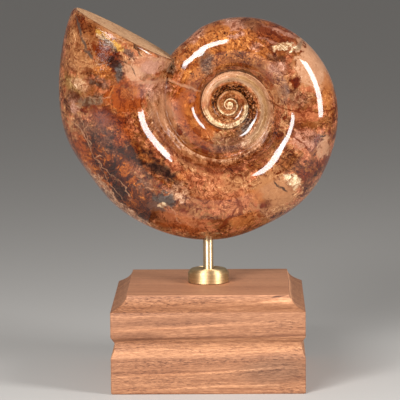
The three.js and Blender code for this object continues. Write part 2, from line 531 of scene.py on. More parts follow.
def make_block():
    slab_top, slab_bottom, groove_depth = 14.0, 22.1, 1.45
    groove_low, groove_high, hollow_foot, hollow_width = 17.7, 19.9, 31.95, 6.1
    bend_in, bend_up, hollow_steps = 0.92, 0.45, 22
    lower = [
        (0.4, 0.0), (0.0, 0.4), (0.0, slab_top), (groove_depth, groove_low),
        (groove_depth, groove_high), (0.0, slab_bottom), (0.0, hollow_foot), (0.3, hollow_foot + 0.02),
    ]
    profile = softened(lower, 0.3)
    for step in range(1, hollow_steps + 1):
        t = step / hollow_steps
        run = 2 * t * (1 - t) * bend_in + t * t
        rise = 2 * t * (1 - t) * bend_up + t * t
        if run * hollow_width > 0.4:
            profile.append((run * hollow_width, hollow_foot + rise * (BLOCK_HEIGHT - hollow_foot)))
    profile.append((profile[-1][0] + 0.25, BLOCK_HEIGHT))
    rings = [square_ring(BLOCK_HALF - inset, 0.5, z) for inset, z in profile]
    hole_ring = []
    for x, y, _ in rings[-1]:
        angle = math.atan2(y, x - PIN_X)
        hole_ring.append((PIN_X + HOLE_RADIUS * math.cos(angle), HOLE_RADIUS * math.sin(angle)))
    for z in (BLOCK_HEIGHT, PIN_FOOT - GAP):
        rings.append([(x, y, z) for x, y in hole_ring])
    corners, faces = loft(rings)
    made = new_object("moulded_block", corners, faces)
    finish_piece(made, "wooden_block", sharp_degrees=32)
    return made


def make_collar():
    side, ledge, bulge = COLLAR_SIDE, 0.25, 0.15
    outline = [
        (HOLE_RADIUS, 2.0), (HOLE_RADIUS, 0.0), (COLLAR_RADIUS, 0.0), (COLLAR_RADIUS, side),
        (COLLAR_RADIUS - ledge, side), (COLLAR_RADIUS - ledge, side + 0.1),
        ((COLLAR_RADIUS + COLLAR_TOP_RADIUS) / 2, (side + COLLAR_HEIGHT) / 2 + bulge),
        (COLLAR_TOP_RADIUS, COLLAR_HEIGHT), (HOLE_RADIUS, COLLAR_HEIGHT), (HOLE_RADIUS, 3.0),
    ]
    return turned_piece("turned_collar", "brass_collar", softened(outline, 0.12), COLLAR_FOOT, 128, True)


def make_pin():
    length = PIN_TOP - PIN_FOOT
    outline = [
        (PIN_RADIUS - 0.4, 0.0), (PIN_RADIUS, 0.4), (PIN_RADIUS, length - 0.4), (PIN_RADIUS - 0.4, length),
    ]
    return turned_piece("turned_pin", "brass_pin", softened(outline, 0.15), PIN_FOOT, 64, False)


ammonite = make_ammonite()
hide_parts("ammonite")
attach(ammonite, "root")
block = make_block()
collar = make_collar()
pin = make_pin()


# Materials

class Paint:
    """Builds the nodes of one material. Each method returns an output socket."""

    def __init__(self, name):
        self.material = bpy.data.materials.new(name)
        self.material.use_nodes = True
        self.tree = self.material.node_tree
        self.tree.nodes.clear()

    def node(self, kind, **settings):
        made = self.tree.nodes.new(kind)
        for name, value in settings.items():
            setattr(made, name, value)
        return made

    def put(self, socket, value):
        if isinstance(value, bpy.types.NodeSocket):
            self.tree.links.new(value, socket)
        elif socket.type == "RGBA":
            socket.default_value = (*value, 1.0)
        else:
            socket.default_value = value

    def result(self, kind, output, inputs, **settings):
        """An output of a new node; inputs holds its values by the name or number of the socket."""
        made = self.node(kind, **settings)
        for key, value in inputs.items():
            if value is not None:
                self.put(made.inputs[key], value)
        return made.outputs[output]

    def maths(self, operation, *values):
        return self.result("ShaderNodeMath", "Value", dict(enumerate(values)), operation=operation)

    def times(self, first, *others):
        for other in others:
            first = self.maths("MULTIPLY", first, other)
        return first

    def vector(self, operation, a, b=None, scale=None):
        output = "Value" if operation == "LENGTH" else "Vector"
        return self.result("ShaderNodeVectorMath", output, {0: a, 1: b, "Scale": scale}, operation=operation)

    def split(self, vector):
        made = self.node("ShaderNodeSeparateXYZ")
        self.put(made.inputs[0], vector)
        return tuple(made.outputs)

    def join(self, x, y):
        return self.result("ShaderNodeCombineXYZ", "Vector", {"X": x, "Y": y})

    def place_from(self, middle):
        """The place on the piece in millimetres, counted from middle."""
        coordinates = self.node("ShaderNodeTexCoord").outputs["Object"]
        return self.vector("SUBTRACT", self.vector("SCALE", coordinates, scale=1 / MM), middle)

    def shifted(self, at, by, amount):
        return self.vector("ADD", at, self.vector("SCALE", by, scale=amount))

    def stretched(self, at, scale, turn=(0.0, 0.0, 0.0)):
        return self.result("ShaderNodeMapping", "Vector", {"Vector": at, "Rotation": turn, "Scale": scale})

    def turned(self, at, degrees):
        return self.stretched(at, (1.0, 1.0, 1.0), (0.0, 0.0, math.radians(degrees)))

    def after(self, at, colour):
        """The same place, found only after that colour is, so that few values are held at a time."""
        nothing = (0.0, 0.0, 0.0)
        inputs = {0: colour, 1: nothing, 2: at}
        return self.result("ShaderNodeVectorMath", "Vector", inputs, operation="MULTIPLY_ADD")

    def noise(self, at, scale, detail=4.0, roughness=0.55, distortion=0.0, output="Fac"):
        inputs = {"Vector": at, "Scale": scale, "Detail": detail}
        inputs.update({"Roughness": roughness, "Distortion": distortion})
        return self.result("ShaderNodeTexNoise", output, inputs)

    def bend(self, at, scale, detail, roughness=0.55):
        """A vector that wanders round zero."""
        colour = self.noise(at, scale, detail, roughness, output="Color")
        return self.vector("SUBTRACT", colour, (0.5, 0.5, 0.5))

    def between(self, value, low, high, start=0.0, end=1.0):
        """start below low, end above high and smooth between; high may lie below low."""
        if low > high:
            low, high, start, end = high, low, end, start
        inputs = {"Value": value, "From Min": low, "From Max": high, "To Min": start, "To Max": end}
        return self.result("ShaderNodeMapRange", "Result", inputs, interpolation_type="SMOOTHSTEP")

    def window(self, value, low, high, soft):
        """1 from low to high and 0 outside, with soft ends."""
        rise = self.between(value, low - soft, low + soft)
        return self.times(rise, self.between(value, high + soft, high - soft))

    def spot(self, at, middle, size, tilt=0.0, edge=0.3):
        """1 inside an oval of that half size round middle, 0 outside; edge is the soft share."""
        inputs = {
            "Vector": at,
            "Location": (*middle, 0.0),
            "Rotation": (0.0, 0.0, math.radians(tilt)),
            "Scale": (*size, 1.0),
        }
        own = self.result("ShaderNodeMapping", "Vector", inputs, vector_type="TEXTURE")
        return self.between(self.vector("LENGTH", own), 1 + edge, 1 - edge)

    def line(self, at, start, end, width, edge=0.5):
        """1 within width of the straight line from start to end, 0 away from it."""
        run = (end[0] - start[0], end[1] - start[1])
        middle = ((start[0] + end[0]) / 2, (start[1] + end[1]) / 2)
        tilt = math.degrees(math.atan2(run[1], run[0]))
        return self.spot(at, middle, (math.hypot(*run) / 2, width), tilt, edge)

    def mix(self, share, a, b):
        made = self.node("ShaderNodeMix", data_type="RGBA")
        shown = [socket for socket in made.inputs if socket.enabled]
        for socket, value in zip(shown, (share, a, b)):
            self.put(socket, value)
        return next(socket for socket in made.outputs if socket.enabled)

    def tinted(self, share, colour, tint):
        """The colour, darkened or lightened to tint times itself where share is 1."""
        return self.mix(share, colour, self.vector("MULTIPLY", colour, tint))

    def bump(self, height, strength, distance):
        inputs = {"Strength": strength, "Distance": distance, "Height": height}
        return self.result("ShaderNodeBump", "Normal", inputs)

    def surface(self, colour, roughness, normal=None, **constants):
        """Ends the material. Returns its shader, for the sockets that take more than a constant."""
        shader = self.node("ShaderNodeBsdfPrincipled")
        self.put(shader.inputs["Base Color"], colour)
        self.put(shader.inputs["Roughness"], roughness)
        if normal is not None:
            self.put(shader.inputs["Normal"], normal)
        for name, value in constants.items():
            shader.inputs[name.replace("_", " ")].default_value = value
        output = self.node("ShaderNodeOutputMaterial")
        self.tree.links.new(shader.outputs["BSDF"], output.inputs["Surface"])
        return shader


# Colours of the stone, as shares of red, green and blue light that it gives back
TAN = (0.31, 0.127, 0.049)
SALMON = (0.31, 0.090, 0.034)
BROWN = (0.150, 0.040, 0.008)
RED_BROWN = (0.105, 0.014, 0.002)
DEEP = (0.052, 0.008, 0.001)
DARK = (0.016, 0.005, 0.003)
AMBER = (0.22, 0.040, 0.005)
ORANGE = (0.31, 0.092, 0.020)
YELLOW = (0.45, 0.235, 0.045)
CREAM = (0.50, 0.33, 0.185)
BEIGE = (0.39, 0.190, 0.100)
PINK = (0.35, 0.155, 0.098)
MAUVE = (0.100, 0.036, 0.018)
SLATE = (0.056, 0.038, 0.029)
GREY = (0.145, 0.092, 0.055)
OLIVE = (0.21, 0.112, 0.036)
GLOW = (0.27, 0.060, 0.005)
SAWN_PALE = (0.76, 0.43, 0.22)
SAWN_DARK = (0.62, 0.33, 0.16)

# Patches of colour on the seen side, two of them painted glints by the mouth, as on a picture with the
# coil's middle at 0, 0: across, up, half length, half width, tilt in degrees, colour, strength, softness of
# the edge
BY_THE_MOUTH = (
    (-56, 30, 11, 8, 60, BROWN, 0.66, 0.36),
    (-60, 24, 9, 4, 75, TAN, 0.6, 0.3),
    (-57, 34, 4, 2.5, 60, RED_BROWN, 0.62, 0.3),
    (-45, 31, 16, 2.6, -32, TAN, 0.87, 0.3),
    (-51, 30, 5, 3, -50, BROWN, 0.7, 0.36),
    (-48.5, 29.5, 3.4, 1.3, -38, YELLOW, 0.7, 0.3),
    (-43, 25.5, 3.6, 1.2, -40, YELLOW, 0.7, 0.3),
    (-46, 26, 4.5, 1.2, -42, GREY, 0.87, 0.3),
    # The next two are painted glints: small highlights painted as cream and pink spots
    (-49.5, 28.6, 1.3, 0.7, -40, CREAM, 0.9, 0.4),
    (-45.5, 29.8, 1.5, 0.7, -40, PINK, 0.9, 0.4),
    (-38.5, 22.5, 3.2, 1.5, -58, SLATE, 0.74, 0.3),
    (-35, 24, 3.0, 0.5, -58, DARK, 0.74, 0.36),
    (-47, 21.5, 8, 2.4, -36, RED_BROWN, 0.91, 0.24),
    (-43.5, 17.5, 4.5, 1.8, -45, DARK, 0.87, 0.3),
    (-42, 15, 3.6, 1.6, 78, SLATE, 0.87, 0.3),
    (-55, 18, 5, 3, 10, TAN, 0.66, 0.36),
    (-49, 15.5, 4, 2, 0, ORANGE, 0.66, 0.36),
    (-30, 18, 10, 3.2, -8, BEIGE, 0.84, 0.24),
    (-36.5, 14.5, 4.5, 3.2, -30, BEIGE, 0.84, 0.24),
    (-34, 19, 3.5, 2, 10, SALMON, 0.66, 0.36),
    (-29.5, 16.5, 4.8, 3, 0, PINK, 0.81, 0.24),
    (-22, 16.5, 3.6, 1.7, 60, GREY, 0.91, 0.3),
    (-21.5, 14, 2.2, 0.7, 45, SLATE, 0.74, 0.36),
)
LEFT_SIDE = (
    (-47, -20, 18, 13, -50, DEEP, 0.95, 0.4),
    (-38, -35, 15, 7, -42, DEEP, 0.8, 0.4),
    (-60, 10, 5.5, 4, -25, OLIVE, 0.66, 0.36),
    (-57, 10, 4.5, 2.2, -20, BEIGE, 0.74, 0.36),
    (-50.5, 11.5, 4.6, 2.2, -20, SLATE, 0.7, 0.42),
    (-53, 7.5, 3, 2, 0, BROWN, 0.6, 0.3),
    (-61, 3, 3.4, 4.5, 0, MAUVE, 0.77, 0.36),
    (-60, 1.5, 1.6, 3, 10, PINK, 0.66, 0.36),
    (-53, 4, 6, 2.2, 12, GREY, 0.77, 0.36),
    (-46, -3, 9, 4, -20, RED_BROWN, 0.87, 0.36),
    (-57, -6, 6, 2.6, -50, MAUVE, 0.74, 0.42),
    (-40, 5, 8.2, 6.6, 10, AMBER, 0.97, 0.15),
    (-38, 7, 3.8, 2.4, 20, ORANGE, 0.7, 0.42),
    (-42, 8, 3, 0.8, 80, RED_BROWN, 0.66, 0.48),
    (-28.5, 7, 4.4, 4.6, 70, PINK, 0.74, 0.3),
    (-26, -3, 5, 9, 15, BEIGE, 0.6, 0.4),
    (-56, -17, 4, 9, 28, AMBER, 0.84, 0.3),
    (-48, -14, 4, 8, 25, MAUVE, 0.5, 0.4),
    (-41, -10, 3.6, 4.5, -20, AMBER, 0.9, 0.36),
    (-45, -25, 9, 4.5, -45, DEEP, 0.9, 0.36),
    (-36.5, -16, 6, 3.2, -52, DEEP, 0.8, 0.36),
    (-51, -18, 3.4, 8, 25, DEEP, 0.7, 0.4),
    (-37, -22, 4, 2, -30, SALMON, 0.35, 0.5),
    (-34, -14, 4, 3, -30, BROWN, 0.5, 0.4),
    (-29, -22, 12.5, 2.8, -35, DARK, 0.91, 0.42),
    (-33, -19, 3, 1.5, -30, ORANGE, 0.74, 0.42),
    (-18, -26, 3.6, 2, 15, ORANGE, 0.84, 0.3),
    (-24, -17, 3, 1.4, -50, PINK, 0.74, 0.36),
    (-34.5, -29, 4, 2.6, -20, MAUVE, 0.8, 0.36),
    (-26, -35.5, 5, 4.4, 20, SLATE, 0.94, 0.24),
    (-29, -38, 4, 2, -20, MAUVE, 0.81, 0.3),
    (-26, -37.5, 2.2, 1.1, -8, CREAM, 0.97, 0.18),
    (-19.5, -33, 3.4, 4, 40, BEIGE, 0.77, 0.36),
    (-37, -37, 10, 3.4, -40, DEEP, 0.85, 0.36),
    (-18, -44, 10, 3.6, -14, SALMON, 0.66, 0.36),
    (-18, -47.5, 10, 2, -12, AMBER, 0.81, 0.36),
    (-50, -30, 12, 1.7, -52, BEIGE, 0.81, 0.3),
    (-38, -42, 12, 1.7, -36, BEIGE, 0.77, 0.3),
    (-34, -43, 3, 0.8, -30, DARK, 0.66, 0.42),
)
TOP = (
    (-8, 22, 15, 9, 28, ORANGE, 0.91, 0.24),
    (8, 26, 14, 10, -5, ORANGE, 0.81, 0.3),
    (-9, 17.5, 3.4, 4.2, 0, SLATE, 0.74, 0.42),
    (-15, 13, 5, 3.4, 30, ORANGE, 0.87, 0.3),
    (2.5, 32.5, 4.5, 2, -10, PINK, 0.84, 0.3),
    (3, 28.5, 3.6, 1.2, 5, PINK, 0.81, 0.3),
    (-13, 28, 4, 2, 40, PINK, 0.66, 0.36),
    (11, 31, 7, 2.2, -18, MAUVE, 0.74, 0.36),
    (10.5, 23.5, 2.4, 1.4, 0, PINK, 0.81, 0.36),
    (18, 27, 8.5, 5.6, -28, RED_BROWN, 0.84, 0.3),
    (20, 29, 7, 0.7, -25, PINK, 0.66, 0.42),
    (17, 25, 6, 0.6, -22, PINK, 0.62, 0.42),
    (6, 18, 9, 3, -12, BROWN, 0.74, 0.42),
    (33, 17, 8, 11, 22, BEIGE, 0.97, 0.12),
    (21, 23.5, 4.6, 1.2, 10, CREAM, 0.94, 0.24),
    (26, 22.5, 3, 1.1, 25, CREAM, 0.84, 0.3),
    (27.5, 23.5, 2, 1, 40, MAUVE, 0.74, 0.42),
    (20.5, 19, 2.4, 2, 20, DARK, 0.7, 0.48),
    (17, 20, 2, 1.8, 0, MAUVE, 0.74, 0.36),
    (19, 15, 4.6, 3.2, 0, PINK, 0.74, 0.36),
    (15, 11, 2.4, 4.4, 25, RED_BROWN, 0.74, 0.42),
    (25, 4, 6.4, 3.6, -10, MAUVE, 0.66, 0.42),
)
RIGHT_SIDE = (
    (38.5, 5, 2.2, 9, 5, ORANGE, 0.74, 0.3),
    (30, -3, 5.5, 2, -5, SALMON, 0.74, 0.36),
    (29, -12.5, 5, 4.6, 20, PINK, 0.74, 0.3),
    (36.5, -16, 2.8, 5.4, -10, BEIGE, 0.84, 0.24),
    (36.5, -11, 1.1, 0.5, 0, DARK, 0.94, 0.3),
    (36, -12.8, 0.6, 0.4, 0, DARK, 0.87, 0.3),
    (36.5, -21.5, 3.4, 1.6, 30, RED_BROWN, 0.87, 0.3),
    (24, -22, 5.6, 3.6, -38, BROWN, 0.81, 0.3),
    (29, -27, 3.4, 1.8, -50, RED_BROWN, 0.84, 0.3),
    (24, -28.5, 4.4, 2.8, -38, CREAM, 0.94, 0.12),
    (18, -32, 8.6, 5.4, -25, TAN, 0.95, 0.2),
    (20, -38, 8, 3, 28, TAN, 0.85, 0.3),
    (10.5, -34.5, 2.6, 3, 50, ORANGE, 0.74, 0.42),
    (31, -30, 5, 2, 52, MAUVE, 0.62, 0.42),
    (2.5, -37, 7, 7, 0, SALMON, 0.74, 0.36),
    (-6, -32, 8, 7, 0, SALMON, 0.6, 0.42),
    (2, -30, 5, 2.6, 0, TAN, 0.7, 0.4),
    (5, -44, 6, 3.4, 20, ORANGE, 0.66, 0.36),
    (4, -39, 1.0, 5.5, 12, RED_BROWN, 0.7, 0.42),
    (-1, -44, 4.5, 1.1, 42, RED_BROWN, 0.77, 0.36),
    (-3, -23, 7, 1.6, -6, RED_BROWN, 0.74, 0.42),
    (-14, -27, 6, 2.4, -15, SALMON, 0.66, 0.42),
    (14, -8, 1.8, 8, 18, OLIVE, 0.62, 0.36),
)

# Cracks and veins: points across and up, half width, colour, strength
VEINS = (
    (((-53, 36), (-47, 33), (-42, 28), (-38, 25)), 0.2, BEIGE, 0.6),
    (((-51, 27.5), (-46, 24.5), (-42, 19.5)), 0.25, DARK, 0.7),
    (((-58, 29), (-54, 27), (-53, 23), (-56, 20)), 0.18, BEIGE, 0.5),
    (((-62, 22), (-58, 19), (-53, 18.5)), 0.2, RED_BROWN, 0.6),
    (((-40, 28), (-37, 26.5), (-35, 23)), 0.22, DARK, 0.7),
    (((-59, 36), (-57, 28), (-55, 23), (-52, 20)), 0.55, SLATE, 0.85),
    (((-43.5, 10.5), (-47, 4), (-44, -1.5)), 0.3, ORANGE, 0.9),
    (((-58, -6.5), (-52.5, -18.5), (-44.5, -27.5), (-37, -35.5)), 0.19, BEIGE, 0.63),
    (((-52.5, -18.3), (-49, -18)), 0.18, BEIGE, 0.72),
    (((-52, -19), (-49.2, -24), (-47.6, -29), (-41, -35.5)), 0.15, BEIGE, 0.54),
    (((-62, -4), (-57, -8), (-54, -4)), 0.18, BEIGE, 0.63),
    (((-57.5, -1), (-56, -9), (-53.5, -15)), 0.16, BEIGE, 0.54),
    (((-33.5, -31), (-29, -30.5), (-25, -33), (-21, -31)), 0.18, BEIGE, 0.54),
    (((-24, -38), (-21, -41), (-19.5, -45)), 0.2, BEIGE, 0.54),
    (((-42.5, 20), (-38, 17), (-36, 13.5)), 0.3, DARK, 0.7),
    (((-62, 12), (-56, 6), (-50, 4.5), (-45, 6)), 0.2, BEIGE, 0.45),
    (((-36, 10.5), (-26, 10.5), (-20, 9.5), (-15, 7.5), (-11, 5.5)), 0.6, BEIGE, 0.6),
    (((25, -11), (28.5, -14.5), (30.5, -17.5), (33, -15.5), (34, -12)), 0.28, RED_BROWN, 0.9),
    (((17, -28), (19, -30.5), (22, -33)), 0.45, DARK, 0.9),
    (((2, -34), (3.5, -38.5), (0, -43), (-4.5, -46)), 0.45, RED_BROWN, 0.8),
    (((15, 2.5), (21, 0), (28, -2), (36, -2), (43, -0.5)), 0.28, RED_BROWN, 0.9),
    (((18, -3.5), (25, -5), (32, -4.5)), 0.22, RED_BROWN, 0.6),
    (((20, -14), (24, -10), (27, -4)), 0.22, RED_BROWN, 0.6),
)

# Colours that follow the coil: turns back from the mouth, from and to; share across the whorl, from
# and to; colour; strength
ALONG_THE_COIL = (
    (0.04, 0.55, -0.1, 0.10, TAN, 0.5),
    (1.02, 1.26, 0.0, 0.62, AMBER, 0.85),
    (1.10, 1.20, 0.2, 0.4, ORANGE, 0.5),
    (1.27, 1.42, 0.25, 0.65, MAUVE, 0.55),
    (1.40, 2.08, 0.44, 1.1, BEIGE, 0.9),
    (1.42, 1.96, 0.42, 0.58, GREY, 0.6),
    (1.42, 1.80, 0.56, 0.70, OLIVE, 0.6),
    # Brown of the tube's inner wall in the groove, partly painted shade on that steep wall
    (1.46, 2.12, -0.1, 0.34, BROWN, 0.9),
    (1.40, 1.49, 0.10, 0.36, SLATE, 0.85),
    (2.12, 9.00, -0.1, 0.60, BROWN, 0.55),
    (2.12, 2.60, 0.55, 1.1, CREAM, 0.8),
    (2.60, 3.10, 0.6, 1.1, TAN, 0.8),
    (3.10, 9.00, 0.6, 1.1, CREAM, 0.7),
    (4.20, 9.00, -0.1, 1.1, CREAM, 0.7),
)

# Bands beside the seam below the coil's middle, laid out in the same way but with straight edges; the
# brown and the beige bands are partly painted shade and painted light
SEAM_BANDS_LIGHT_AND_SHADE = (
    # Brown of the inner turn's flank by the seam, partly painted shade where that flank faces down
    (1.10, 1.62, 0.80, 0.955, BROWN, 0.65),
    (0.12, 0.60, 0.075, 0.16, RED_BROWN, 0.5),
    # Beige of the wall along the seam, partly painted light where the wall turns up toward the coil's middle
    (0.08, 0.60, -0.10, 0.045, BEIGE, 0.75),
)

# Places of the smooth, hardly mottled patches: across, up, half length, half width, tilt
SMOOTH_PATCHES = (
    (33, 16, 8, 11.5, 22),
    (17, -33, 9, 5.5, -20),
    (-29, 17.5, 6, 3.4, -5),
    (36.5, -16, 3, 6, -10),
    (-36, 14, 4, 3, -30),
    (-39.5, 5, 8, 6.5, 10),
    (-26, -2, 5, 8, 15),
)

# Tints of the stone: what its colour is multiplied with
INSIDE_TINT = (1.28, 1.36, 1.38)
RING_TINT = (1.06, 1.22, 1.3)
STAIN_TINT = (0.56, 0.40, 0.32)
SMALL_STAIN_TINT = (0.70, 0.58, 0.50)
FLECK_TINT = (1.32, 1.45, 1.5)
THREAD_TINT = (0.70, 0.60, 0.52)
PALE_STREAK_TINT = (1.3, 1.4, 1.5)
DARK_STREAK_TINT = (0.72, 0.60, 0.52)
# Painted shadow: how much the seams between the turns are darkened
SEAM_SHADOW_TINT = (0.30, 0.27, 0.24)
SAWN_FLECK_TINT = (0.6, 0.45, 0.4)

# Fibres and stripes in the stone: middle, half size, tilt to the right, scale of their noise, tint
FIBRES = (
    ((-40, 5), (9, 7), 0, (0.9, 0.12, 1.0), (0.55, 0.42, 0.35)),
    ((-29, -21), (14, 6), 35, (0.12, 0.9, 1.0), (0.45, 0.32, 0.25)),
    ((24, -22), (7, 4.5), 38, (0.12, 1.3, 1.0), (0.42, 0.34, 0.30)),
)

# Thin healed cracks: scale, half width as a share of the noise, how rare, tint
HEALED_CRACKS = (
    (0.09, 0.015, 0.46, (0.42, 0.31, 0.25)),
    (0.19, 0.024, 0.51, (0.50, 0.38, 0.31)),
    (0.13, 0.016, 0.48, (1.7, 2.1, 2.5)),
    (0.30, 0.026, 0.52, (1.5, 1.8, 2.0)),
)

# Depth behind the coil's middle at which the far side's patches begin, and how far they are turned
FAR_SIDE = 6.0
FAR_SIDE_TURN = 115

# Turns back from the mouth between which the coil's middle begins
MIDDLE_STARTS = (1.36, 1.44)


def ground(paint, solid):
    """Brown, tan and salmon, mottled at two sizes."""
    cloud = paint.between(paint.noise(solid, 0.055, 2.0), 0.42, 0.6)
    mottle = paint.noise(solid, 0.22, 8.0, 0.64, 0.6)
    colour = paint.mix(cloud, BROWN, TAN)
    colour = paint.mix(paint.between(mottle, 0.50, 0.58), colour, SALMON)
    return paint.mix(paint.between(mottle, 0.46, 0.40), colour, RED_BROWN)


def paint_patches(paint, at, colour, patches):
    for x, z, length, width, tilt, shade, strength, edge in patches:
        share = paint.spot(paint.after(at, colour), (x, z), (length, width), tilt, edge)
        colour = paint.mix(paint.times(share, strength), colour, shade)
    return colour


def paint_veins(paint, at, colour, kept):
    for points, width, shade, strength in VEINS:
        for start, end in zip(points[:-1], points[1:]):
            share = paint.line(paint.after(at, colour), start, end, width)
            share = paint.times(share, paint.times(kept, strength))
            colour = paint.mix(share, colour, shade)
    return colour


def paint_bands(paint, back, across, colour, bands, soft_along, soft_across):
    for low, high, inner, outer, shade, strength in bands:
        along = paint.window(back, low, high, soft_along)
        within = paint.window(across, inner, outer, soft_across)
        colour = paint.mix(paint.times(along, within, strength), colour, shade)
    return colour


def paint_deep_brown(paint, solid, at, colour):
    """Amber that glows and dark that gathers in the deep brown at the lower left."""
    in_deep = paint.spot(at, (-45, -22), (19, 11), -48, 0.35)
    mottle = paint.noise(solid, 0.15, 8.0, 0.66, 0.5)
    glow = paint.times(paint.between(mottle, 0.535, 0.575), in_deep)
    gloom = paint.times(paint.between(mottle, 0.46, 0.42), in_deep)
    colour = paint.mix(paint.times(glow, 0.85), colour, GLOW)
    return paint.mix(paint.times(gloom, 0.8), colour, DARK)


def mottled_share(paint, at, back, across):
    """How much fine mottling a place has: little in the smooth patches and in the innermost tube."""
    share = 1.0
    for x, z, length, width, tilt in SMOOTH_PATCHES:
        spot = paint.spot(at, (x, z), (length, width), tilt, 0.25)
        kept = paint.maths("SUBTRACT", 1.0, paint.times(spot, 0.8))
        share = paint.times(kept, share)
    in_tube = paint.times(paint.window(back, 1.42, 2.1, 0.04), paint.between(across, 0.40, 0.48))
    return paint.times(share, paint.maths("MULTIPLY_ADD", in_tube, -0.75, 1.0))


def paint_groove(paint, solid, back, across, colour):
    """Dark and pale grains in the groove of the inner turns."""
    in_groove = paint.times(paint.window(back, 1.46, 2.14, 0.04), paint.between(across, 0.38, 0.26))
    deeper = paint.times(paint.window(back, 2.14, 4.2, 0.04), paint.between(across, 0.60, 0.40))
    in_groove = paint.maths("MULTIPLY_ADD", deeper, 0.5, in_groove)
    grains = paint.noise(solid, 1.15, 3.0, 0.7, 0.5)
    colour = paint.mix(paint.times(in_groove, paint.between(grains, 0.50, 0.53)), colour, DARK)
    return paint.mix(paint.times(in_groove, paint.between(grains, 0.42, 0.39)), colour, BEIGE)


def paint_stains(paint, solid, mottled, colour):
    """Stains of two sizes and pale flecks."""
    stains = paint.between(paint.noise(solid, 0.30, 9.0, 0.72, 0.6), 0.525, 0.565)
    colour = paint.tinted(paint.times(stains, mottled), colour, STAIN_TINT)
    small_stains = paint.between(paint.noise(solid, 0.95, 8.0, 0.75, 0.4), 0.52, 0.58)
    gathered = paint.between(paint.noise(solid, 0.09, 3.0, 0.6), 0.46, 0.56)
    colour = paint.tinted(paint.times(small_stains, gathered, mottled), colour, SMALL_STAIN_TINT)
    flecks = paint.between(paint.noise(solid, 0.55, 9.0, 0.75, 0.5), 0.465, 0.43)
    return paint.tinted(paint.times(flecks, mottled), colour, FLECK_TINT)


def paint_streaks(paint, spiral, across, in_middle, colour):
    """Threads in the middle of the coil, and streaks there and beside the seams."""
    streaks = paint.noise(paint.vector("MULTIPLY", spiral, (9.0, 60.0, 0.0)), 1.0, 5.0, 0.6)
    threads = paint.noise(paint.vector("MULTIPLY", spiral, (5.0, 34.0, 0.0)), 1.0, 3.0, 0.6)
    by_seam = paint.maths("MAXIMUM", paint.between(across, 0.42, 0.12), in_middle)
    for share, tint in (
        (paint.times(paint.between(threads, 0.50, 0.56), in_middle), THREAD_TINT),
        (paint.times(paint.between(streaks, 0.50, 0.60), by_seam), PALE_STREAK_TINT),
        (paint.times(paint.between(streaks, 0.48, 0.38), by_seam), DARK_STREAK_TINT),
    ):
        colour = paint.tinted(share, colour, tint)
    return colour


def paint_fibres(paint, at, colour):
    for middle, size, turn, scale, tint in FIBRES:
        fibres = paint.stretched(paint.turned(at, turn), scale)
        fibres = paint.between(paint.noise(fibres, 1.0, 3.0, 0.6), 0.49, 0.56)
        share = paint.times(fibres, paint.spot(at, middle, size, -turn, 0.2))
        colour = paint.tinted(share, colour, tint)
    return colour


def paint_healed_cracks(paint, solid, mottled, colour):
    """Lines where a noise passes its middle value, in the places where they gather."""
    for scale, width, rare, tint in HEALED_CRACKS:
        level = paint.noise(solid, scale, 5.0, 0.6, 1.2)
        away = paint.maths("ABSOLUTE", paint.maths("SUBTRACT", level, 0.5))
        where = paint.noise(paint.vector("ADD", solid, (90.0 * scale, 40.0, 70.0)), 0.07, 3.0)
        on_line = paint.between(away, width, width * 0.4)
        gathered = paint.between(where, rare - 0.03, rare + 0.03)
        colour = paint.tinted(paint.times(on_line, gathered, mottled), colour, tint)
    return colour


